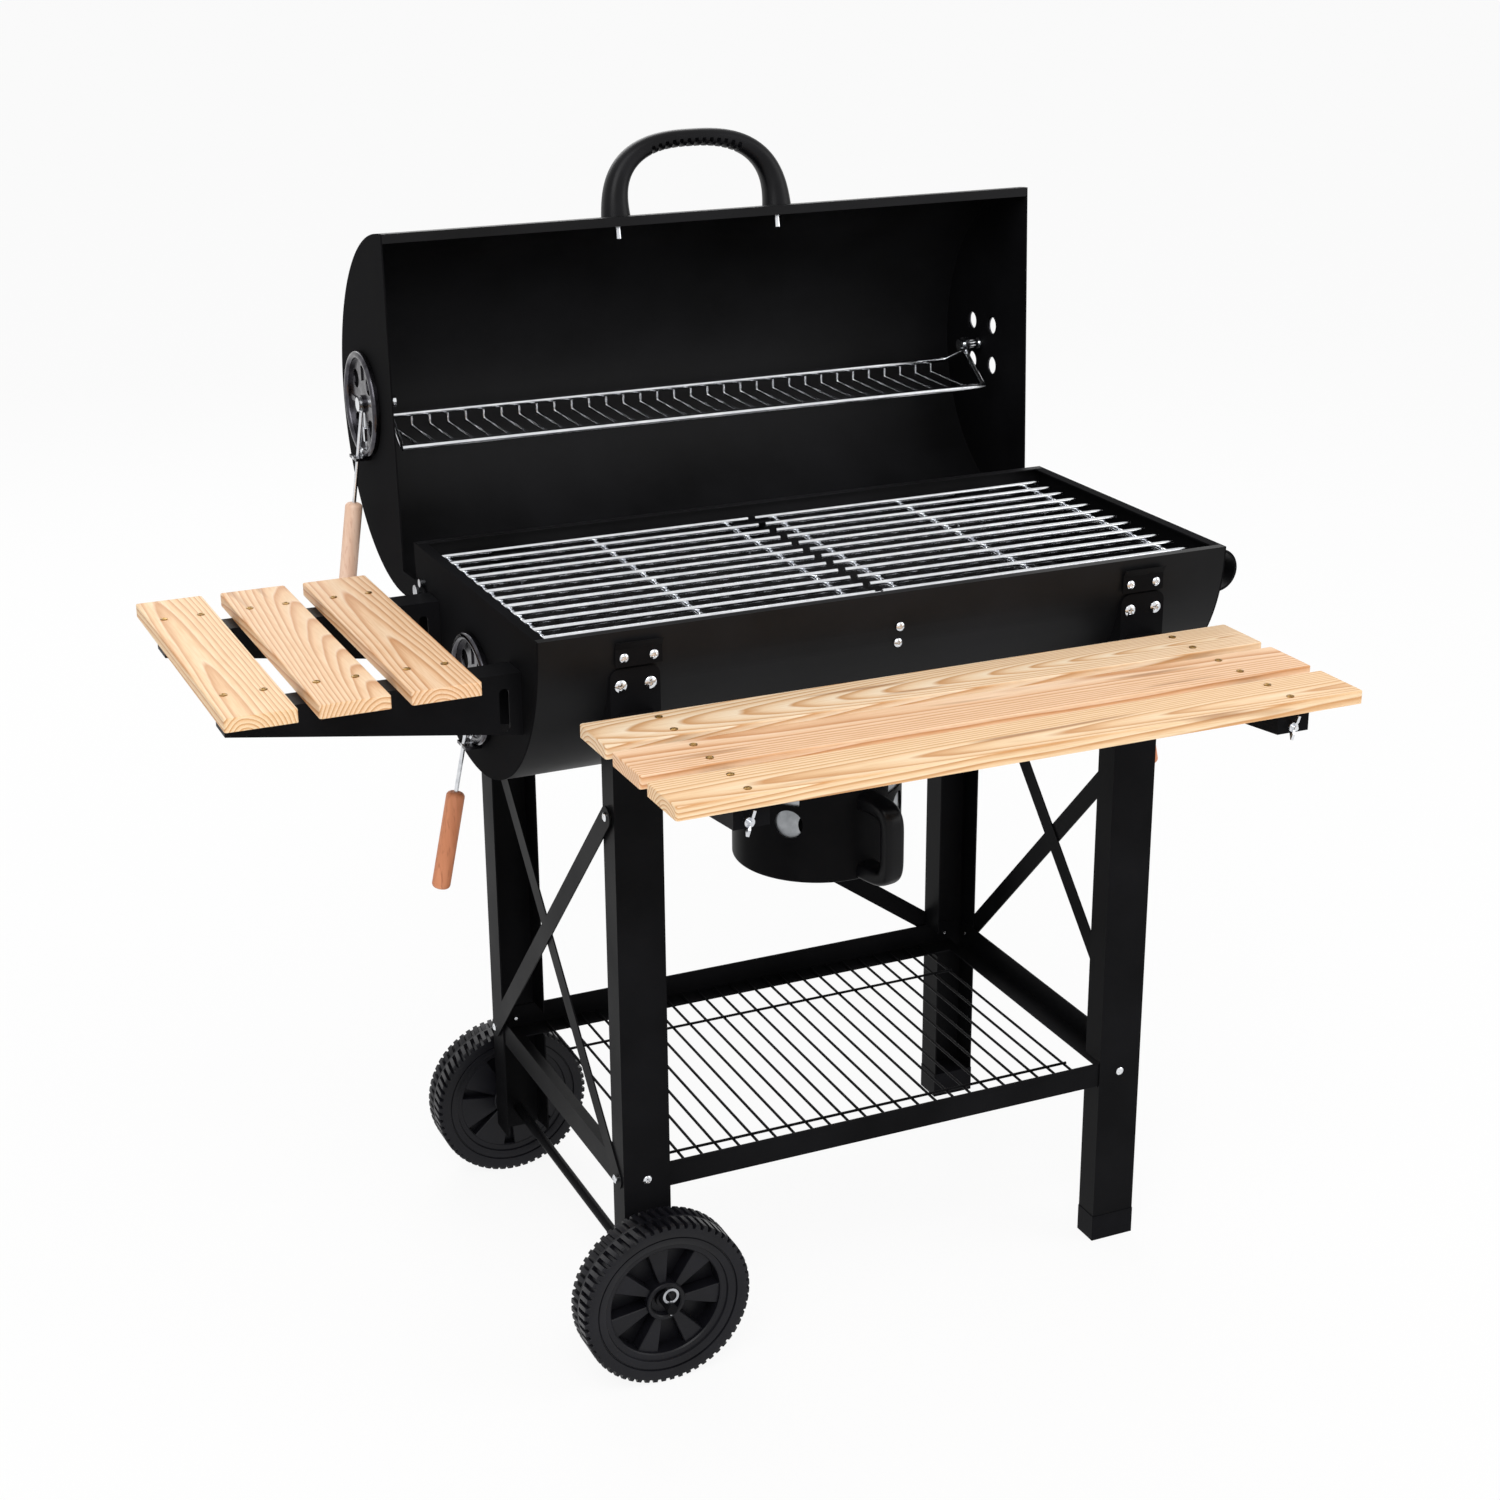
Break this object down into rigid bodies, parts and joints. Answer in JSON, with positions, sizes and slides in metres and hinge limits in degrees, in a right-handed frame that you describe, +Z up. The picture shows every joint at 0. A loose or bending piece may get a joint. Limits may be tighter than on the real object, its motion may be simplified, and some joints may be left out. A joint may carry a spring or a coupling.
{
  "type": "barrel charcoal grill",
  "caption": "Barrel charcoal grill on a wheeled cart with a hinged half-barrel lid, vent dampers on wooden grips, a warming rack, lift-out grates, an ash cup, a wire shelf and plank tables.",
  "frame": {"origin": "middle of the footprint of the open object, on the floor", "axes": "+X along the barrel to the end without a table, +Y from the front table to the back, +Z up"},
  "size_m": [1.0224, 0.824, 1.1032],
  "materials": {
    "black_paint": "satin black heat-proof paint on sheet steel",
    "chrome_wire": "bright chrome plating on steel wire and screws",
    "bright_steel": "zinc-plated steel, slightly dull",
    "pine_plank": "oiled pine",
    "turned_grip": "turned and varnished wood",
    "black_plastic": "matt moulded plastic"
  },
  "bodies": {
    "cart": {"ash_sleeve": "black_paint", "axle": "bright_steel", "axle_clips": "bright_steel", "back_brace": "black_paint", "back_rail": "black_paint", "barrel_left_end": "black_paint", "barrel_right_end": "black_paint", "barrel_screws": "chrome_wire", "barrel_shell": "black_paint", "clamp_plates": "black_paint", "damper_pins": "chrome_wire", "foot_caps": "black_plastic", "frame_bolts": "chrome_wire", "front_left_arm": "black_paint", "front_left_leg": "black_paint", "front_plank_1": "pine_plank", "front_plank_2": "pine_plank", "front_plank_3": "pine_plank", "front_rail": "black_paint", "front_right_arm": "black_paint", "front_right_leg": "black_paint", "grate_brackets": "black_paint", "hinge_bolts": "chrome_wire", "left_braces": "black_paint", "left_rail": "black_paint", "plank_screws": "chrome_wire", "rear_left_leg": "black_paint", "rear_right_leg": "black_paint", "right_braces": "black_paint", "right_rail": "black_paint", "side_front_arm": "black_paint", "side_plank_1": "pine_plank", "side_plank_2": "pine_plank", "side_plank_3": "pine_plank", "side_rear_arm": "black_paint", "strap_brackets": "black_paint", "wing_nuts": "chrome_wire", "wire_shelf": "black_paint"},
    "lid": {"lid_shell": "black_paint", "lid_left_end": "black_paint", "lid_right_end": "black_paint", "lid_handle": "black_plastic", "handle_bolts": "chrome_wire", "rack_pins": "chrome_wire"},
    "warming_rack": {"warming_rack": "chrome_wire"},
    "lid_left_damper": {"lid_left_damper": "bright_steel", "lid_left_grip": "turned_grip"},
    "lid_right_damper": {"lid_right_damper": "bright_steel", "lid_right_grip": "turned_grip"},
    "barrel_left_damper": {"barrel_left_damper": "bright_steel", "barrel_left_grip": "turned_grip"},
    "barrel_right_damper": {"barrel_right_damper": "bright_steel", "barrel_right_grip": "turned_grip"},
    "front_wheel": {"front_wheel": "black_plastic"},
    "rear_wheel": {"rear_wheel": "black_plastic"},
    "ash_cup": {"ash_cup": "black_paint", "ash_cup_handle": "black_plastic"},
    "left_grate": {"left_grate": "chrome_wire"},
    "right_grate": {"right_grate": "chrome_wire"},
    "charcoal_grate": {"charcoal_grate": "chrome_wire"}
  },
  "joints": [
    {"name": "lid_hinge", "type": "hinge", "parent": "cart", "child": "lid", "pos_m": [0.10981, 0.18199, 0.69], "axis": [1, 0, 0], "range_deg": [0, 92.5]},
    {"name": "warming_rack_swing", "type": "hinge", "parent": "lid", "child": "warming_rack", "pos_m": [0.10981, 0.33092, 0.84565], "axis": [-1, 0, 0], "range_deg": [-30, 92.5]},
    {"name": "lid_left_damper_turn", "type": "hinge", "parent": "lid", "child": "lid_left_damper", "pos_m": [-0.24419, 0.33092, 0.84565], "axis": [-1, 0, 0], "range_deg": [-30, 92.5]},
    {"name": "lid_right_damper_turn", "type": "hinge", "parent": "lid", "child": "lid_right_damper", "pos_m": [0.46381, 0.33092, 0.84565], "axis": [-1, 0, 0], "range_deg": [-30, 92.5]},
    {"name": "barrel_left_damper_turn", "type": "hinge", "parent": "cart", "child": "barrel_left_damper", "pos_m": [-0.24219, 0.01999, 0.641], "axis": [1, 0, 0], "range_deg": [-45, 45]},
    {"name": "barrel_right_damper_turn", "type": "hinge", "parent": "cart", "child": "barrel_right_damper", "pos_m": [0.46181, 0.01999, 0.641], "axis": [1, 0, 0], "range_deg": [-45, 45]},
    {"name": "front_wheel_spin", "type": "hinge", "parent": "cart", "child": "front_wheel", "pos_m": [-0.14969, -0.18301, 0.084], "axis": [0, 1, 0], "continuous": true},
    {"name": "rear_wheel_spin", "type": "hinge", "parent": "cart", "child": "rear_wheel", "pos_m": [-0.14969, 0.25999, 0.084], "axis": [0, 1, 0], "continuous": true},
    {"name": "ash_cup_turn", "type": "hinge", "parent": "cart", "child": "ash_cup", "pos_m": [0.10981, 0.01999, 0.46], "axis": [0, 0, 1], "range_deg": [-20, 25]},
    {"name": "left_grate_lift", "type": "slide", "parent": "cart", "child": "left_grate", "axis": [0, 0, 1], "range_m": [0, 0.025]},
    {"name": "right_grate_lift", "type": "slide", "parent": "cart", "child": "right_grate", "axis": [0, 0, 1], "range_m": [0, 0.025]},
    {"name": "charcoal_grate_lift", "type": "slide", "parent": "cart", "child": "charcoal_grate", "axis": [0, 0, 1], "range_m": [0, 0.03]}
  ]
}
